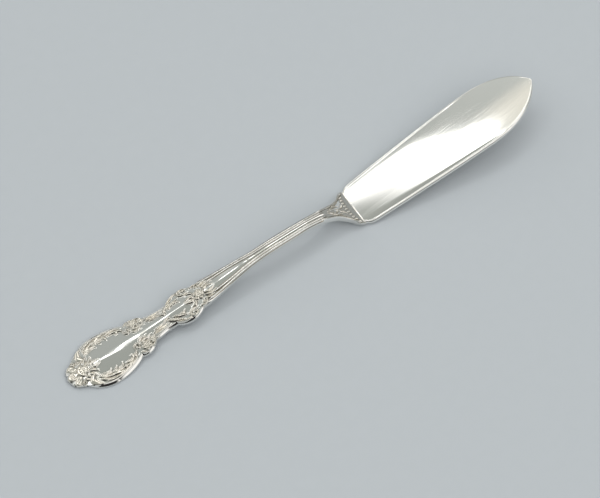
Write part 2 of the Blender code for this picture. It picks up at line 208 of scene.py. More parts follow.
# Smooth crescents in the same way.
CRESCENTS = (
    # Round the end rose, and the shoulder's scroll
    (((6.2, 1.75), (5.0, 1.5), (4.25, 0.6), (4.25, -0.6), (5.0, -1.5)), 0.5, 1.0),
    (((8.9, 7.1), (7.3, 6.2), (6.6, 4.9), (7.0, 3.8), (7.9, 3.0)), 1.0, 0.95),
    # Line outside the border and outside the bulge's leaves
    (((9.4, 6.9), (10.6, 7.3), (12.4, 7.65), (15.0, 7.65), (17.6, 7.25), (20.2, 6.6), (23.4, 5.3)),
     0.30, 0.8),
    (((38.0, 3.1), (40.0, 4.3), (42.0, 4.85), (44.0, 4.7)), 0.38, 0.9),
    # Loop before the middle rose, and its tongue
    (((47.0, 3.1), (44.8, 3.0), (43.6, 3.7), (43.8, 4.7), (45.2, 5.0), (46.8, 4.4)), 0.42, 1.0),
    (((44.6, 3.9), (45.6, 4.1), (46.6, 3.8)), 0.3, 0.8),
)
# Flutes of the shell as station, y, half-length, half-width, turn, height share and hollow.
FLUTES = ((1.9, 0.0, 1.95, 1.35, 0.0, 0.8, 0.4), (2.75, 2.4, 1.85, 1.15, -0.8, 0.8, 0.4))
# Beads across the fan as station and y, and what a flute's row says after that.
BEADS = ((105.9, 0.0), (106.0, 1.15), (106.1, 2.3), (106.3, 3.45), (106.6, 4.6))
BEAD = (0.38, 0.42, 0.0, 0.8, 0.0)
# Roses as centre, radius and turn. Their petals and bud as shares of the radius, with the petals' hollow.
ROSES = (((5.9, 0.0), 1.8, math.pi), ((26.7, 4.5), 1.7, 0.6), ((29.3, 3.9), 1.05, 2.2),
         ((48.9, 0.0), 1.8, 0.0))
PETALS, PETAL_RING, PETAL_LENGTH, PETAL_WIDTH, PETAL_HOLLOW = 5, 0.6, 0.44, 0.42, 0.55
BUD_RADIUS, BUD_HEIGHT = 0.3, 0.9
# Rim of a hollow lobe: its place and half-width as shares of the lobe's radius.
LOBE_RIM, LOBE_RIM_WIDTH = 0.66, 0.34
# Volutes as centre, radius, turns, first angle and hand, the share of the radius they lose, and half-width.
VOLUTES = (((23.9, 3.3), 1.2, 1.25, 2.3, 1), ((49.5, 2.9), 0.9, 1.1, -1.0, 1),
           ((4.1, 3.9), 0.75, 1.1, 2.0, 1))
VOLUTE_CLOSE, VOLUTE_WIDTH = 0.82, 0.30
# Threads along stem and fan: shares of the half-width by station, half-width of the thread, height share.
THREADS = (
    (((50.0, 0.82), (60.0, 0.84), (75.0, 0.76), (98.0, 0.74)), 0.32, 1.0),
    (((53.0, 0.56), (60.0, 0.6), (72.0, 0.42), (97.0, 0.4)), 0.32, 1.0),
    (((95.0, 0.90), (107.6, 0.90)), 0.5, 1.6),
)
# Grooves beside them: width, and how sharply they start at the outside and end at the thread.
GROOVE, GROOVE_START, GROOVE_END = 0.2, 3.0, 4.0
# Points along the path of each kind of stroke.
STROKE_SAMPLES, VOLUTE_SAMPLES, THREAD_SAMPLES = 32, 40, 60
# Powers that shape the sides of a dome, the height along a taper, and the fading of the relief at the edge.
DOME_POWER, TAPER_POWER, EDGE_POWER = 0.8, 0.6, 4

# Sockets of a colour mix: share, both colours and the result.
MIX_SHARE, MIX_FIRST, MIX_SECOND, MIX_RESULT = 0, 6, 7, 2
# Middle part of a noise, where most of its values lie.
NOISE_SPAN = {"From Min": 0.3, "From Max": 0.7}
# Wheel marks and scratches on the blade: size along, across and through it in millimetres.
# Real wheel marks are about 0.03 mm wide, too fine for a pixel of 0.3 mm, so they are drawn coarser.
MARK_SIZE, MARK_DEPTH, MARK_STRENGTH, MARK_CHANGE = (14.0, 0.5, 3.0), 0.001, 0.25, 0.15
SCRATCH_SIZE, SCRATCH_TURN, SCRATCH_DULLING = (9.0, 0.45, 3.0), math.radians(-7.0), 0.03
SCRATCH_SPAN = {"From Min": 0.72, "From Max": 0.78}
# Patches of the solder and clouds of the paper in millimetres, with their range of roughness and lightness.
SOLDER_PATCH, SOLDER_ROUGHNESS = 1.2, (0.1, 0.2)
PULP_CLOUD, PULP_LIGHTNESS = 4.0, (0.985, 1.015)

# Room that the plate mirrors: its light on the near and the far side, and the range of Y between them.
ROOM_NEAR, ROOM_FAR, ROOM_RANGE = (0.36, 0.380, 0.358), (0.41, 0.43, 0.415), (0.1, 0.75)
# Its parts: ranges of the view over which each grows, and its colour.
ROOM_SIDES = (
    # Bright wall behind the knife
    ({"X": (0.27, 0.15), "Y": (0.2, 0.45), "Z": (0.62, 0.5)}, (1.2, 1.2, 1.18)),
    # Its upper part beyond the shell end
    ({"X": (-0.02, -0.12), "Y": (0.3, 0.5), "Z": (0.78, 0.66)}, (0.95, 0.95, 0.92)),
    # Its unlit foot
    ({"X": (0.4, 0.2), "Y": (0.2, 0.45), "Z": (0.3, 0.18)}, (0.12, 0.12, 0.12)),
    # Dim end of the room beyond the blade
    ({"X": (0.4, 0.75)}, (0.31, 0.32, 0.31)),
    # Unlit side towards the viewer
    ({"X": (0.02, -0.22), "Y": (-0.1, -0.35), "Z": (0.75, 0.5)}, (0.06, 0.06, 0.06)),
)
# Dark doorway and lamps in it: direction, inner and outer angle in degrees, and colour.
GLOWS = (
    ((-0.15, -0.88, 0.42), 15.0, 22.0, (0.03, 0.03, 0.03)),
    ((0.08, -0.46, 0.87), 11.0, 21.0, (1.1, 1.08, 1.06)),
    ((0.42, -0.85, 0.33), 11.0, 20.5, (1.1, 1.08, 1.06)),
    ((0.47, 0.40, 0.79), 5.0, 10.0, (1.3, 1.28, 1.25)),
    ((0.665, 0.39, 0.62), 9.0, 14.0, (1.3, 1.28, 1.25)),
)
# Softboxes that face down, in metres, with the ranges over which a soft one grows.
SOFTBOXES = (
    {"name": "strip_softbox", "place": (-0.044, 0.688, 1.5), "size": (0.128, 0.299), "turn": 10.5,
     "soft": {"X": (0.0, 0.8)}},
    {"name": "low_softbox", "place": (-0.0165, 0.43, 1.5), "size": (0.105, 0.25), "turn": 5.0,
     "soft": {"X": (0.0, 0.8)}},
    {"name": "lobe_softbox", "place": (0.029, 0.475, 1.5), "size": (0.03, 0.24), "shape": "ELLIPSE"},
    {"name": "panel_softbox", "place": (0.44, 0.59, 1.5), "size": (0.58, 0.38), "soft": {"Y": (0.0, 0.5)}},
    {"name": "rear_softbox", "place": (-0.28, 0.63, 1.5), "size": (0.26, 0.44)},
)
# Dim cards over them, each at its own height, because lamps in one plane hide each other.
CARDS = (
    {"name": "cream_card", "place": (0.17, 0.50, 1.52), "size": (0.24, 0.44), "radiance": 0.4,
     "soft": {"Y": (1.0, 0.6)}, "colour": (1.0, 0.93, 0.8)},
    {"name": "pale_card", "place": (0.103, 0.81, 1.56), "size": (0.45, 0.50), "radiance": 0.26,
     "soft": {"X": (0.0, 0.9), "Y": (0.0, 0.4)}, "colour": (0.95, 1.0, 1.0)},
)
# Fill lamp that lights the floor and isn't mirrored.
FILL = {"name": "overhead_fill", "place": (0.3, -0.9, 1.7), "size": (4.0, 4.0), "in_plate": False}
# Floor: half of its side, and how far it lies under the knife.
FLOOR_REACH, FLOOR_GAP = 3.0, 0.00003

# Camera at the photo's angle: azimuth, elevation and roll, target in millimetres, focus and width in pixels.
CAMERA_ANGLES, CAMERA_TARGET = (-33.84, 61.89, -0.71), (-4.18, -3.89, 4.0)
FOCUS, IMAGE_WIDTH = 3159.4, 600
SENSOR_WIDTH, CLIP_START, CLIP_END = 36.0, 0.05, 20.0


def linear(code):
    """Linear colour of an sRGB hex code: each channel's display curve undone."""
    channels = np.array([int(code[i:i + 2], 16) for i in (1, 3, 5)]) / 255
    low, high = channels / 12.92, ((channels + 0.055) / 1.055) ** 2.4
    return tuple(float(c) for c in np.where(channels <= 0.04045, low, high))


def smooth(points, at):
    """Monotone cubic through (place, value) points: harmonic mean of the slopes at each knot."""
    x, y = np.array(points, float).T
    at = np.asarray(at, float)
    slope = np.diff(y) / np.diff(x)
    before, after = np.append(slope[0], slope), np.append(slope, slope[-1])
    total = np.where(before + after == 0.0, 1.0, before + after)
    tangent = np.where(before * after > 0.0, 2.0 * before * after / total, 0.0)
    i = np.clip(np.searchsorted(x, at, side="left") - 1, 0, len(slope) - 1)
    run = x[i + 1] - x[i]
    t = np.clip((at - x[i]) / run, 0.0, 1.0)
    rise = run * (t * (1 - t) ** 2 * tangent[i] - t * t * (1 - t) * tangent[i + 1])
    return y[i] + (y[i + 1] - y[i]) * t * t * (3 - 2 * t) + rise


def fade(low, high, value):
    """0 below low, 1 above high, with a smooth step between them."""
    t = np.clip((value - low) / (high - low), 0.0, 1.0)
    return t * t * (3 - 2 * t)


def dome(q):
    """A rounded rib of height 1 and half-width 1: one less the square, raised to steepen its sides."""
    return np.clip(1.0 - q * q, 0.0, None) ** DOME_POWER


def roof_fall(y, reach, slope):
    """Fall of a roof at y from its ridge: its tilt grows as one less an exponential of y, up to the slope."""
    return slope * (y - reach * (1.0 - np.exp(-y / reach)))


def soften(field, passes):
    """Average each point with its neighbours along and across the grid, a few times."""
    for _ in range(passes):
        for axis in (0, 1):
            pad = [(1, 1) if a == axis else (0, 0) for a in (0, 1)]
            wide = np.pad(field, pad, mode="edge")
            n = field.shape[axis]
            field = (np.take(wide, range(n), axis) + 2 * field + np.take(wide, range(2, n + 2), axis)) / 4
    return field


def half_width(station):
    """Half-width of the handle: the stem, or the widest lobe there, each lobe a half ellipse."""
    width = smooth(STEM_HALF_WIDTHS, station)
    for place, half, back, front in LOBES:
        reach = np.where(station < place, back, front)
        width = np.maximum(width, half * np.sqrt(np.clip(1.0 - ((station - place) / reach) ** 2, 0.0, None)))
    return width


def shell_end(across):
    """Set-back of the shell end at a place across it: a cubic arc with three scallops."""
    return SHELL_SAG * np.abs(across) ** 3 + SHELL_SCALLOP * (1.0 - np.abs(np.cos(1.5 * np.pi * across)))


def curve_through(points):
    """Samples of the Catmull-Rom curve through control points, with its ends run on straight."""
    p = np.array(points, float)
    p = np.vstack((2 * p[0] - p[1], p, 2 * p[-1] - p[-2]))
    t = np.linspace(0.0, len(p) - 3 - 1e-9, STROKE_SAMPLES)
    i = t.astype(int)
    u = (t - i)[:, None]
    a, b, c, d = p[i], p[i + 1], p[i + 2], p[i + 3]
    square, cube = 2 * a - 5 * b + 4 * c - d, 3 * b - a - 3 * c + d
    return 0.5 * (2 * b + (c - a) * u + square * u ** 2 + cube * u ** 3)


def spiral(centre, radius, turns, start, hand):
    """Path of a volute: a radius that shrinks steadily while the angle runs the given turns."""
    t = np.linspace(0.0, 1.0, VOLUTE_SAMPLES)
    angle = start + hand * 2.0 * np.pi * turns * t
    reach = radius * (1.0 - VOLUTE_CLOSE * t)
    return np.stack((centre[0] + reach * np.cos(angle), centre[1] + reach * np.sin(angle)), axis=1)


def leaf_taper(along):
    """Width along a leaf stroke: it swells from its root, then draws to a point."""
    root, point = 0.22, 0.6
    return np.clip(along / root, 0.1, 1.0) ** 0.5 * np.clip((1.0 - along) / point, 0.03, 1.0) ** 0.6


def crescent_taper(along):
    """Width along a crescent: full in the middle and drawn out at both ends."""
    return np.clip(np.sin(np.pi * along), 0.02, 1.0) ** 0.7


def even_taper(along):
    """Width along a thread: even, with rounded ends."""
    end = 0.04
    return np.clip(np.minimum(along, 1.0 - along) / end, 0.02, 1.0) ** 0.5


def strike(relief, s, y, path, width, height, taper=leaf_taper):
    """Raise one stroke in a relief: a dome of the distance to the path over the tapering width.

    Strokes join by the larger height, so they meet in valleys.
    """
    low, high = path.min(0) - width, path.max(0) + width
    near = np.nonzero((s > low[0]) & (s < high[0]) & (y > low[1]) & (y < high[1]))
    start, step = path[:-1], np.diff(path, axis=0)
    ds, dy = s[near][:, None] - start[:, 0], y[near][:, None] - start[:, 1]
    t = np.clip((ds * step[:, 0] + dy * step[:, 1]) / (step ** 2).sum(1), 0.0, 1.0)
    gap = (ds - t * step[:, 0]) ** 2 + (dy - t * step[:, 1]) ** 2
    nearest = gap.argmin(1)
    pick = np.arange(len(nearest)), nearest
    share = taper((nearest + t[pick]) / len(step))
    q = np.sqrt(gap[pick]) / (width * share)
    rib = height * share ** TAPER_POWER * dome(q)
    relief[near] = np.maximum(relief[near], rib)


def strike_lobe(relief, s, y, lobe, height):
    """Raise an elliptical lobe: a dome of the elliptical radius, part of which gives way to a raised rim."""
    centre_s, centre_y, along, across, turn, share, hollow = lobe
    ds, dy = s - centre_s, y - centre_y
    c, n = math.cos(turn), math.sin(turn)
    q = np.hypot((ds * c + dy * n) / along, (dy * c - ds * n) / across)
    rise = (1.0 - hollow) * dome(q) + hollow * dome((q - LOBE_RIM) / LOBE_RIM_WIDTH)
    np.maximum(relief, height * share * rise, out=relief)


def rose(centre, radius, turn):
    """Lobes of a rose: hollow petals on a ring round a bud."""
    lobes = [(*centre, BUD_RADIUS * radius, BUD_RADIUS * radius, 0.0, BUD_HEIGHT, 0.0)]
    for angle in turn + 2.0 * np.pi * np.arange(PETALS) / PETALS:
        s = centre[0] + PETAL_RING * radius * math.cos(angle)
        y = centre[1] + PETAL_RING * radius * math.sin(angle)
        lobes.append((s, y, PETAL_LENGTH * radius, PETAL_WIDTH * radius, angle, 1.0, PETAL_HOLLOW))
    return lobes


def handle_relief(s, y, settings):
    """Height of the struck ornament on half of the handle: strokes and lobes join by the larger height."""
    height = settings.relief / MM
    relief = np.zeros_like(s)
    beads = [(*place, *BEAD) for place in BEADS]
    for lobe in (*FLUTES, *beads, *(petal for flower in ROSES for petal in rose(*flower))):
        strike_lobe(relief, s, y, lobe, height)
    for table, taper in ((LEAVES, leaf_taper), (CRESCENTS, crescent_taper)):
        for points, width, share in table:
            strike(relief, s, y, curve_through(points), width, height * share, taper)
    for volute in VOLUTES:
        strike(relief, s, y, spiral(*volute), VOLUTE_WIDTH, height)
    return relief


def stem_threads(s, y, settings):
    """Height of the threads and the grooves along them.

    Threads are even domed ribs whose place across is a share of the half-width. A groove is what a wider rib
    covers beyond them.
    """
    height = settings.thread / MM
    relief, wide = np.zeros_like(s), np.zeros_like(s)
    for shares, width, share in THREADS:
        stations = np.linspace(shares[0][0], shares[-1][0], THREAD_SAMPLES)
        path = np.stack((stations, smooth(shares, stations) * half_width(stations)), axis=1)
        strike(relief, s, y, path, width, height * share, even_taper)
        strike(wide, s, y, path, width + GROOVE, 1.0, even_taper)
    groove = np.clip(GROOVE_START * wide, 0.0, 1.0) * np.clip(1.0 - GROOVE_END * relief / height, 0.0, 1.0)
    return relief, groove


def ridge_crown(s, y, settings):
    """Height of the ground, of the plain panel and of the stem's roof: the highest of three roofs."""
    crown = -roof_fall(y, GROUND_BEND, settings.ground_slope) * (1.0 - fade(*GROUND_END, s))
    for ridge, bend, slope in ((PANEL_RIDGE, PANEL_BEND, settings.panel_slope),
                               (STEM_RIDGE, STEM_BEND, settings.stem_slope)):
        first, last = ridge[0][0], ridge[-1][0]
        inside = fade(first, first + RIDGE_FADE, s) * (1.0 - fade(last - RIDGE_FADE, last, s))
        crown = np.maximum(crown, inside * smooth(ridge, s) - roof_fall(y, smooth(bend, s), slope))
    return crown


def handle_face(s, y, inset, settings):
    """Height of the struck face, with its toned recesses and its chased area.

    A recess is as deep as the relief lies under its softened self. At the upper edge the relief fades out and
    the face falls like a roof.
    """
    relief = handle_relief(s, y, settings)
    threads, groove = stem_threads(s, y, settings)
    crown = ridge_crown(s, y, settings)
    struck = soften(relief + threads + crown, 1)
    depth = (soften(struck, RECESS_PASSES) - struck) / RECESS_DEPTH
    recess = np.maximum(np.clip(depth, 0.0, 1.0), groove)
    chased = soften(np.clip(relief / CHASED_HEIGHT, 0.0, 1.0), CHASED_PASSES)
    q = np.clip(1.0 - inset / smooth(EDGE_RADII, s), 0.0, 1.0)
    drop = settings.edge / MM * smooth(EDGE_FALLS, s) * roof_fall(q, EDGE_BEND, 1.0)
    sheet = smooth(BACK_HEIGHTS, s) + smooth(THICKNESSES, s)
    return sheet + crown + (struck - crown) * (1.0 - q ** EDGE_POWER) - drop, recess, chased


def handle_rows():
    """Stations of the handle's rows: even in each stretch, up to where the next one starts."""
    ends = (*(start for start, _ in HANDLE_ROWS[1:]), HEEL + HANDLE_LAP)
    return np.concatenate([np.linspace(start, end, count, endpoint=end == ends[-1])
                           for (start, count), end in zip(HANDLE_ROWS, ends)])


def handle_grid(settings):
    """Rings of the handle as arrays (row, place round the ring): station, y, z, recess and chased area.

    Half a ring runs from the middle of the face over the wall to the middle of the back, then it is mirrored.
    The face's columns close up towards the edge by a sine. Near the heel, stations lean back with height.
    """
    rows = handle_rows()
    u = np.linspace(0.0, 1.0, HANDLE_COLUMNS)
    row, a = np.meshgrid(rows, 0.5 * u + 0.5 * np.sin(u * np.pi / 2), indexing="ij")
    blend = np.clip(1.0 - row / SHELL_BLEND, 0.0, None) ** 2
    s = row + shell_end(a) * blend
    w = half_width(row + shell_end(1.0) * blend)
    y = a * w
    top, recess, chased = handle_face(s, y, np.minimum((1.0 - a) * w, row), settings)
    edge_s, edge_y, edge_z = s[:, -1:], y[:, -1:], top[:, -1:]
    foot = smooth(BACK_HEIGHTS, edge_s)
    corner = foot + FOOT_RADIUS
    wall_z = np.hstack((edge_z + (corner - edge_z) * np.array(WALL_LEVELS), corner, foot + FOOT_BEND, foot))
    wall_y = np.hstack((edge_y.repeat(len(WALL_LEVELS) + 1, 1), edge_y - FOOT_BEND, edge_y - FOOT_RADIUS))
    flat = np.linspace(BACK_EDGE, 0.0, BACK_COLUMNS)
    under_s = rows[:, None] + shell_end(flat) * blend[:, :1]
    half_s = np.hstack((s, edge_s.repeat(wall_z.shape[1], 1), under_s))
    half_y = np.hstack((y, wall_y, flat * (edge_y - FOOT_RADIUS)))
    half_z = np.hstack((top, wall_z, smooth(BACK_HEIGHTS, under_s)))
    bare = np.zeros((len(rows), half_z.shape[1] - top.shape[1]))
    halves = ((half_s, 1), (half_y, -1), (half_z, 1), (np.hstack((recess, bare)), 1),
              (np.hstack((chased, bare)), 1))
    s, y, z, recess, chased = (np.hstack((half, sign * half[:, -2:0:-1])) for half, sign in halves)
    lean = fade(LEAN_START, HEEL, s) * math.tan(PITCH)
    return s - z * lean, y, z, recess, chased


def blade_half_width(x):
    """Half-width of the blade: edges that swell to the widest place, then close in a rounded lancet tip."""
    swell = HEEL_HALF_WIDTH + (MAX_HALF_WIDTH - HEEL_HALF_WIDTH) * (
        1.0 - np.clip(1.0 - x / MAX_STATION, 0.0, 1.0) ** EDGE_SWELL)
    run = np.clip((x - MAX_STATION) / (BLADE_LENGTH - MAX_STATION), 0.0, 1.0)
    close = MAX_HALF_WIDTH * (1.0 - run ** TIP_POWER) ** TIP_ROUNDNESS
    width = np.where(x < MAX_STATION, swell, close)
    return np.maximum(TIP_HALF_WIDTH, width * (1.0 - CORNER_CUT * np.exp(-x / CORNER_REACH)))


def blade_grid(settings):
    """Rings of the blade in its own frame as x, y and z: buffed face, raised rim, bevel, edge and flat back.

    The face falls by half its bow times the square of y, and has the buffing waves and the roll on it. Each
    facet of the edge adds its change of slope as a softened corner, and a quarter circle rounds the lip.
    """
    u = np.linspace(0.0, 1.0, BLADE_ROWS)
    spread = ROW_EVENNESS * u + (1.0 - ROW_EVENNESS) * (1.0 - np.cos(np.pi * u)) / 2
    x = ((BLADE_LENGTH + BLADE_LAP) * spread - BLADE_LAP)[:, None]
    w = blade_half_width(np.maximum(x, 0.0))
    scale = np.minimum(1.0, w / FULL_EDGE_WIDTH)
    insets = np.array(EDGE_COLUMNS)
    inner = np.linspace(0.0, 1.0, FACE_COLUMNS, endpoint=False)
    half = np.hstack((inner * (w - insets[0] * scale), w - insets * scale))
    y = np.hstack((-half[:, :0:-1], half))
    inset = (w - np.abs(y)) / scale
    places = np.linspace(0.0, BLADE_LENGTH, len(settings.bow))
    bow = smooth(tuple(zip(places, settings.bow)), x)
    z = BODY_THICKNESS - BODY_TAPER * x / BLADE_LENGTH - bow * y * y / 2
    for height, along, across, phase in BUFF_WAVES:
        z = z + height * np.sin(2.0 * np.pi * (x / along + y / across) + phase)
    z = z - ROLL_BEND / 2 * np.clip(-y - ROLL_START - ROLL_RUN * x, 0.0, None) ** 2
    rim = np.where(y > 0.0, 1.0 - fade(*RIM_END, x), 1.0)
    steeper = 0.0
    for start, slope in zip(FACET_INSETS, (FACET_SLOPES[0] * rim, *FACET_SLOPES[1:])):
        z = z - (slope - steeper) * FACET_BEND * scale * np.log1p(np.exp((start - inset) / FACET_BEND))
        steeper = slope
    lip = np.clip(1.0 - inset / LIP, 0.0, 1.0)
    z = z - LIP * scale * (1.0 - np.sqrt(1.0 - lip * lip))
    levels, foot = np.array(BLADE_LEVELS), np.full_like(w, BLADE_FOOT)
    right, left = (np.hstack((edge + (foot - edge) * levels, foot, np.zeros_like(w)))
                   for edge in (z[:, -1:], z[:, :1]))
    wall_y = np.hstack((w.repeat(len(BLADE_LEVELS) + 1, 1), w - BLADE_FOOT * scale))
    under = np.linspace(BLADE_BACK_EDGE, -BLADE_BACK_EDGE, BLADE_BACK_COLUMNS) * wall_y[:, -1:]
    ring_y = np.hstack((y, wall_y, under, -wall_y[:, ::-1]))
    ring_z = np.hstack((z, right, np.zeros_like(under), left[:, ::-1]))
    return np.broadcast_arrays(x, ring_y, ring_z)


def seam_grid():
    """Rings of the solder line in the blade's frame: an ellipse whose height shrinks at both ends."""
    t = np.linspace(-1.0, 1.0, SEAM_ROWS)[:, None]
    angle = np.linspace(0.0, 2.0 * np.pi, SEAM_RING, endpoint=False)
    shrink = np.sqrt(np.clip(1.0 - t ** SEAM_END_POWER, 0.02, 1.0))
    x = SEAM_MIDDLE[0] + SEAM_RADII[0] * np.cos(angle)
    z = SEAM_MIDDLE[1] + SEAM_RADII[1] * np.sin(angle) * shrink
    return np.broadcast_arrays(x, SEAM_HALF_LENGTH * t, z)


def pitched(x, y, z):
    """Points of the blade's own frame set at the heel and turned up by the pitch."""
    c, n = math.cos(PITCH), math.sin(PITCH)
    return np.stack((START + HEEL + x * c - z * n, y, x * n + z * c), axis=-1)


def tube_faces(rows, ring):
    """Faces of a tube of rings: quads wound so that they face outwards, and a cap at both ends."""
    i, j = np.meshgrid(np.arange(rows - 1), np.arange(ring), indexing="ij")
    k = (j + 1) % ring
    quads = np.stack((i * ring + j, (i + 1) * ring + j, (i + 1) * ring + k, i * ring + k), axis=-1)
    caps = np.arange(ring), np.arange(rows * ring - 1, (rows - 1) * ring - 1, -1)
    return [*quads.reshape(-1, 4).tolist(), *(cap.tolist() for cap in caps)]


def make_piece(name, points, node, material, attributes=()):
    """Closed mesh from rings of points in millimetres, on the knife's body in place of its CAD node."""
    mesh = bpy.data.meshes.new(name)
    mesh.from_pydata((points.reshape(-1, 3) * MM).tolist(), [], tube_faces(*points.shape[:2]))
    for label, values in dict(attributes).items():
        layer = mesh.attributes.new(label, "FLOAT", "POINT")
        layer.data.foreach_set("value", values.ravel().astype(np.float32))
    mesh.materials.append(material)
    mesh.shade_smooth()
    mesh.validate()
    piece = bpy.data.objects.new(name, mesh)
    bpy.context.scene.collection.objects.link(piece)
    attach(piece, "root")
    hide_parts(node)


def add_node(tree, kind, settings=(), values=(), links=()):
    """Add a node of a kind to a tree with its settings, its socket values and its incoming links."""
    made = tree.nodes.new(kind)
    for name, value in dict(settings).items():
        setattr(made, name, value)
    for name, value in dict(values).items():
        made.inputs[name].default_value = value
    for name, source in dict(links).items():
        tree.links.new(source, made.inputs[name])
    return made


def new_material(name):
    """New node material with its tree and its shader."""
    material = bpy.data.materials.new(name)
    material.use_nodes = True
    tree = material.node_tree
    return material, tree, tree.nodes["Principled BSDF"]


def struck_plate(settings):
    """Die-struck silver plate: a mirror on the plain panel, softer and warmer on the ornament.

    The buff doesn't reach between the leaves, so a thin toning stays there.
    """
    material, tree, shader = new_material("die_struck_silver_plate")
    recess, chased = (add_node(tree, "ShaderNodeAttribute", {"attribute_name": name}).outputs["Fac"]
                      for name in ("recess", "chased"))
    warm = add_node(tree, "ShaderNodeMix", {"data_type": "RGBA"},
                    {MIX_FIRST: (*settings.silver, 1.0), MIX_SECOND: (*settings.warmth, 1.0)},
                    {MIX_SHARE: chased})
    toned = add_node(tree, "ShaderNodeMix", {"data_type": "RGBA"}, {MIX_SECOND: (*settings.toning, 1.0)},
                     {MIX_SHARE: recess, MIX_FIRST: warm.outputs[MIX_RESULT]})
    rough = add_node(tree, "ShaderNodeMapRange", {},
                     {"To Min": settings.roughness, "To Max": settings.chased_roughness}, {"Value": chased})
    shader.inputs["Metallic"].default_value = 1.0
    tree.links.new(toned.outputs[MIX_RESULT], shader.inputs["Base Color"])
    tree.links.new(rough.outputs["Result"], shader.inputs["Roughness"])
    return material


def buffed_plate(settings):
    """Buffed silver plate: a near mirror whose wheel marks along the blade fray the edges of reflections.

    Hairline scratches from use cross them at a small angle and dull the mirror a little.
    """
    material, tree, shader = new_material("buffed_silver_plate")
    place = add_node(tree, "ShaderNodeTexCoord").outputs["Object"]
    level = add_node(tree, "ShaderNodeMapping", {}, {"Rotation": (0.0, PITCH, 0.0)},
                     {"Vector": place}).outputs["Vector"]
    along = add_node(tree, "ShaderNodeMapping", {}, {"Scale": [1 / (size * MM) for size in MARK_SIZE]},
                     {"Vector": level})
    marks = add_node(tree, "ShaderNodeTexNoise", {}, {"Scale": 1.0, "Detail": 2.0},
                     {"Vector": along.outputs["Vector"]}).outputs["Fac"]
    askew = add_node(tree, "ShaderNodeMapping", {},
                     {"Rotation": (0.0, 0.0, SCRATCH_TURN),
                      "Scale": [1 / (size * MM) for size in SCRATCH_SIZE]}, {"Vector": level})
    lines = add_node(tree, "ShaderNodeTexNoise", {}, {"Scale": 1.0, "Detail": 0.0},
                     {"Vector": askew.outputs["Vector"]}).outputs["Fac"]
    scratch = add_node(tree, "ShaderNodeMapRange", {}, SCRATCH_SPAN, {"Value": lines})
    rough = add_node(tree, "ShaderNodeMapRange", {},
                     {**NOISE_SPAN, "To Min": (1 - MARK_CHANGE) * settings.roughness,
                      "To Max": (1 + MARK_CHANGE) * settings.roughness}, {"Value": marks})
    dulled = add_node(tree, "ShaderNodeMath", {"operation": "MULTIPLY_ADD"}, {1: SCRATCH_DULLING},
                      {0: scratch.outputs["Result"], 2: rough.outputs["Result"]})
    grooves = add_node(tree, "ShaderNodeBump", {}, {"Strength": MARK_STRENGTH, "Distance": MARK_DEPTH * MM},
                       {"Height": marks})
    shader.inputs["Metallic"].default_value = 1.0
    shader.inputs["Base Color"].default_value = (*settings.silver, 1.0)
    tree.links.new(dulled.outputs["Value"], shader.inputs["Roughness"])
    tree.links.new(grooves.outputs["Normal"], shader.inputs["Normal"])
    return material


def plated_solder(settings):
    """Hard solder under the same plate: it flowed unevenly, so it is patchy and duller than the sheet."""
    material, tree, shader = new_material("plated_hard_solder")
    place = add_node(tree, "ShaderNodeTexCoord").outputs["Object"]
    flow = add_node(tree, "ShaderNodeTexNoise", {}, {"Scale": 1 / (SOLDER_PATCH * MM), "Detail": 2.0},
                    {"Vector": place})
    smoothest, roughest = SOLDER_ROUGHNESS
    rough = add_node(tree, "ShaderNodeMapRange", {}, {**NOISE_SPAN, "To Min": smoothest, "To Max": roughest},
                     {"Value": flow.outputs["Fac"]})
    shader.inputs["Metallic"].default_value = 1.0
    shader.inputs["Base Color"].default_value = (*settings.silver, 1.0)
    tree.links.new(rough.outputs["Result"], shader.inputs["Roughness"])
    return material


def matt_paper(settings):
    """Matt card under the knife: no gloss, and a faint cloudiness where the pulp lies thicker."""
    material, tree, shader = new_material("matt_paper")
    place = add_node(tree, "ShaderNodeTexCoord").outputs["Object"]
    pulp = add_node(tree, "ShaderNodeTexNoise", {}, {"Scale": 1 / (PULP_CLOUD * MM), "Detail": 3.0},
                    {"Vector": place})
    thin, thick = ((*(share * c for c in settings.floor), 1.0) for share in PULP_LIGHTNESS)
    cloud = add_node(tree, "ShaderNodeMix", {"data_type": "RGBA"}, {MIX_FIRST: thin, MIX_SECOND: thick},
                     {MIX_SHARE: pulp.outputs["Fac"]})
    tree.links.new(cloud.outputs[MIX_RESULT], shader.inputs["Base Color"])
    shader.inputs["Roughness"].default_value = 1.0
    shader.inputs["Specular IOR Level"].default_value = 0.0
    return material


def share_within(tree, source, ranges):
    """Share that grows over a range of each named output of a node: the smooth steps multiplied."""
    share = None
    for output, (low, high) in ranges.items():
        grown = add_node(tree, "ShaderNodeMapRange", {"interpolation_type": "SMOOTHSTEP"},
                         {"From Min": low, "From Max": high}, {"Value": source.outputs[output]})
        step = grown.outputs["Result"]
        share = step if share is None else add_node(
            tree, "ShaderNodeMath", {"operation": "MULTIPLY"}, links={0: share, 1: step}).outputs["Value"]
    return share


def lay_floor(settings):
    """Square sheet of paper just under the knife."""
    mesh = bpy.data.meshes.new("floor")
    corners = ((-1, -1), (1, -1), (1, 1), (-1, 1))
    mesh.from_pydata([(x * FLOOR_REACH, y * FLOOR_REACH, -FLOOR_GAP) for x, y in corners], [], [(0, 1, 2, 3)])
    mesh.materials.append(matt_paper(settings))
    floor = bpy.data.objects.new("floor", mesh)
    bpy.context.scene.collection.objects.link(floor)


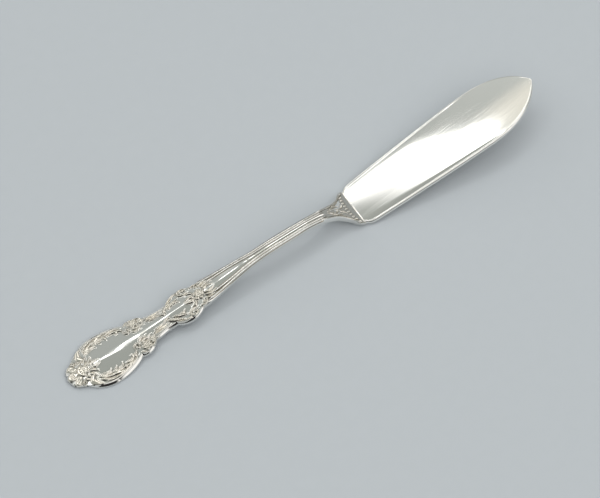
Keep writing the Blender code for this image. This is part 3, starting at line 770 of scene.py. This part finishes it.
def light_room(scene):
    """World that the plate mirrors: a mid-grey room, and each of its parts mixed in by its share."""
    world = bpy.data.worlds.new("room")
    scene.world = world
    world.use_nodes = True
    tree = world.node_tree
    way = add_node(tree, "ShaderNodeTexCoord").outputs["Generated"]
    axes = add_node(tree, "ShaderNodeSeparateXYZ", links={0: way})
    light = add_node(tree, "ShaderNodeMix", {"data_type": "RGBA"},
                     {MIX_FIRST: (*ROOM_NEAR, 1.0), MIX_SECOND: (*ROOM_FAR, 1.0)},
                     {MIX_SHARE: share_within(tree, axes, {"Y": ROOM_RANGE})})
    parts = [(share_within(tree, axes, ranges), colour) for ranges, colour in ROOM_SIDES]
    for aim, inner, outer, colour in GLOWS:
        toward = add_node(tree, "ShaderNodeVectorMath", {"operation": "DOT_PRODUCT"},
                          {1: Vector(aim).normalized()}, {0: way})
        cone = math.cos(math.radians(outer)), math.cos(math.radians(inner))
        parts.append((share_within(tree, toward, {"Value": cone}), colour))
    for share, colour in parts:
        light = add_node(tree, "ShaderNodeMix", {"data_type": "RGBA"}, {MIX_SECOND: (*colour, 1.0)},
                         {MIX_SHARE: share, MIX_FIRST: light.outputs[MIX_RESULT]})
    tree.links.new(light.outputs[MIX_RESULT], tree.nodes["Background"].inputs["Color"])


def area_light(name, place, size, radiance, turn=0.0, soft=(), colour=(1.0, 1.0, 1.0), shape="RECTANGLE",
               in_plate=True):
    """Lamp facing down, whose power is its radiance times its area times pi, and which the plate may mirror.

    A soft lamp grows from dark to full between two shares along each of its named axes.
    """
    lamp = bpy.data.lights.new(name, "AREA")
    lamp.shape = shape
    lamp.size, lamp.size_y = size
    lamp.energy = radiance * math.pi * size[0] * size[1]
    lamp.color = colour
    if soft:
        lamp.use_nodes = True
        tree = lamp.node_tree
        place_on = add_node(tree, "ShaderNodeNewGeometry").outputs["Parametric"]
        axes = add_node(tree, "ShaderNodeSeparateXYZ", links={0: place_on})
        tree.links.new(share_within(tree, axes, soft), tree.nodes["Emission"].inputs["Strength"])
    holder = bpy.data.objects.new(name, lamp)
    holder.location = place
    holder.rotation_euler.z = math.radians(turn)
    holder.visible_glossy = in_plate
    bpy.context.scene.collection.objects.link(holder)


def add_camera(distance):
    """Camera on a sphere round the knife, turned by azimuth, elevation and a small roll."""
    azimuth, elevation, roll = (math.radians(angle) for angle in CAMERA_ANGLES)
    back = Vector((math.sin(azimuth) * math.cos(elevation), -math.cos(azimuth) * math.cos(elevation),
                   math.sin(elevation)))
    right = (-back).cross(Vector((0, 0, 1))).normalized()
    up = right.cross(-back)
    tilted = right * math.cos(roll) + up * math.sin(roll)
    upward = up * math.cos(roll) - right * math.sin(roll)
    place = Vector(CAMERA_TARGET) * MM + back * distance
    data = bpy.data.cameras.new("camera")
    data.sensor_fit = "HORIZONTAL"
    data.sensor_width = SENSOR_WIDTH
    data.lens = FOCUS / IMAGE_WIDTH * SENSOR_WIDTH
    data.clip_start, data.clip_end = CLIP_START, CLIP_END
    camera = bpy.data.objects.new("camera", data)
    camera.matrix_world = Matrix((*zip(tilted, upward, back, place), (0, 0, 0, 1)))
    bpy.context.scene.collection.objects.link(camera)
    bpy.context.scene.camera = camera


class HandleSettings(bpy.types.PropertyGroup):
    """Sizes and colours of the handle."""
    relief: bpy.props.FloatProperty(
        name="Relief", description="Height of the struck ornament", default=0.48 * MM, unit="LENGTH")
    thread: bpy.props.FloatProperty(
        name="Thread", description="Height of the threads on the stem", default=0.25 * MM, unit="LENGTH")
    panel_slope: bpy.props.FloatProperty(
        name="Panel slope", description="Fall of the plain panel to each side", default=0.16)
    ground_slope: bpy.props.FloatProperty(
        name="Ground slope", description="Fall of the ground under the ornament", default=0.1)
    stem_slope: bpy.props.FloatProperty(
        name="Stem slope", description="Fall of the stem's roof to each side", default=0.2)
    edge: bpy.props.FloatProperty(
        name="Edge", description="Fall of the rounded upper edge", default=1.0 * MM, unit="LENGTH")
    silver: bpy.props.FloatVectorProperty(
        name="Silver", description="Colour of the bright plate", default=linear("#F6F5F1"), subtype="COLOR")
    warmth: bpy.props.FloatVectorProperty(
        name="Warmth", description="Colour of the plate on the ornament", default=linear("#F1EBDF"),
        subtype="COLOR")
    toning: bpy.props.FloatVectorProperty(
        name="Toning", description="Colour of the plate in the recesses", default=linear("#887E69"),
        subtype="COLOR")
    roughness: bpy.props.FloatProperty(
        name="Roughness", description="Roughness of the bright plate", default=0.08, subtype="FACTOR")
    chased_roughness: bpy.props.FloatProperty(
        name="Ornament roughness", description="Roughness of the ornament", default=0.12, subtype="FACTOR")


class BladeSettings(bpy.types.PropertyGroup):
    """Sizes and colours of the blade."""
    bow: bpy.props.FloatVectorProperty(
        name="Bow", description="Bend of the face across per mm, at even places from heel to tip", size=4,
        default=(0.008, 0.008, 0.008, 0.009))
    silver: bpy.props.FloatVectorProperty(
        name="Silver", description="Colour of the buffed plate", default=linear("#F7F5F1"), subtype="COLOR")
    roughness: bpy.props.FloatProperty(
        name="Roughness", description="Roughness of the buffed plate", default=0.06, subtype="FACTOR")


class StageSettings(bpy.types.PropertyGroup):
    """Floor, light and camera."""
    floor: bpy.props.FloatVectorProperty(
        name="Floor", description="Colour of the floor", default=linear("#B1B6BA"), subtype="COLOR")
    key: bpy.props.FloatProperty(
        name="Softbox", description="Radiance of the overhead softboxes", default=2.6)
    fill: bpy.props.FloatProperty(
        name="Fill", description="Radiance of the fill lamp", default=0.97)
    distance: bpy.props.FloatProperty(
        name="Camera distance", description="From the knife to the camera", default=1.0, unit="LENGTH")


class KNIFE_OT_handle(bpy.types.Operator):
    """Strike the handle: ring grid with relief, closed at both ends"""
    bl_idname = "butter_knife.handle"
    bl_label = "Handle"

    def execute(self, context):
        settings = context.scene.knife_handle
        s, y, z, recess, chased = handle_grid(settings)
        make_piece("struck_handle", np.stack((START + s, y, z), axis=-1), "handle",
                   struck_plate(settings), {"recess": recess, "chased": chased})
        return {"FINISHED"}


class KNIFE_OT_blade(bpy.types.Operator):
    """Roll the blade: ring grid with a bevel, closed at the heel and the tip"""
    bl_idname = "butter_knife.blade"
    bl_label = "Blade"

    def execute(self, context):
        settings = context.scene.knife_blade
        x, y, z = blade_grid(settings)
        make_piece("lancet_blade", pitched(x + SEAM_SPACE, y, z), "blade",
                   buffed_plate(settings))
        return {"FINISHED"}


class KNIFE_OT_seam(bpy.types.Operator):
    """Run the solder line across the heel"""
    bl_idname = "butter_knife.seam"
    bl_label = "Solder line"

    def execute(self, context):
        make_piece("solder_line", pitched(*seam_grid()), "solder_seam",
                   plated_solder(context.scene.knife_blade))
        return {"FINISHED"}


class KNIFE_OT_stage(bpy.types.Operator):
    """Set the floor, the soft light and the camera"""
    bl_idname = "butter_knife.stage"
    bl_label = "Stage"

    def execute(self, context):
        settings = context.scene.knife_stage
        context.scene.view_settings.view_transform = "Standard"
        lay_floor(settings)
        light_room(context.scene)
        for softbox in SOFTBOXES:
            area_light(radiance=settings.key, **softbox)
        for card in CARDS:
            area_light(**card)
        area_light(radiance=settings.fill, **FILL)
        add_camera(settings.distance)
        return {"FINISHED"}


class VIEW3D_PT_butter_knife(bpy.types.Panel):
    """Sidebar panel that lists the pieces"""
    bl_label = "Butter knife"
    bl_space_type = "VIEW_3D"
    bl_region_type = "UI"
    bl_category = "Butter knife"

    def draw(self, context):
        for operator in PIECES:
            self.layout.operator(operator.bl_idname)


PIECES = (KNIFE_OT_handle, KNIFE_OT_blade, KNIFE_OT_seam, KNIFE_OT_stage)
GROUPS = {"knife_handle": HandleSettings, "knife_blade": BladeSettings, "knife_stage": StageSettings}


def register():
    """Register the classes and give the scene its settings."""
    for item in (*GROUPS.values(), *PIECES, VIEW3D_PT_butter_knife):
        bpy.utils.register_class(item)
    for name, group in GROUPS.items():
        setattr(bpy.types.Scene, name, bpy.props.PointerProperty(type=group))


def unregister():
    """Take the settings and the classes away again."""
    for name in GROUPS:
        delattr(bpy.types.Scene, name)
    for item in reversed((*GROUPS.values(), *PIECES, VIEW3D_PT_butter_knife)):
        bpy.utils.unregister_class(item)


def main():
    """Register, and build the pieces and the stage."""
    register()
    bpy.ops.butter_knife.handle()
    bpy.ops.butter_knife.blade()
    bpy.ops.butter_knife.seam()
    bpy.ops.butter_knife.stage()


if __name__ == "__main__":
    main()
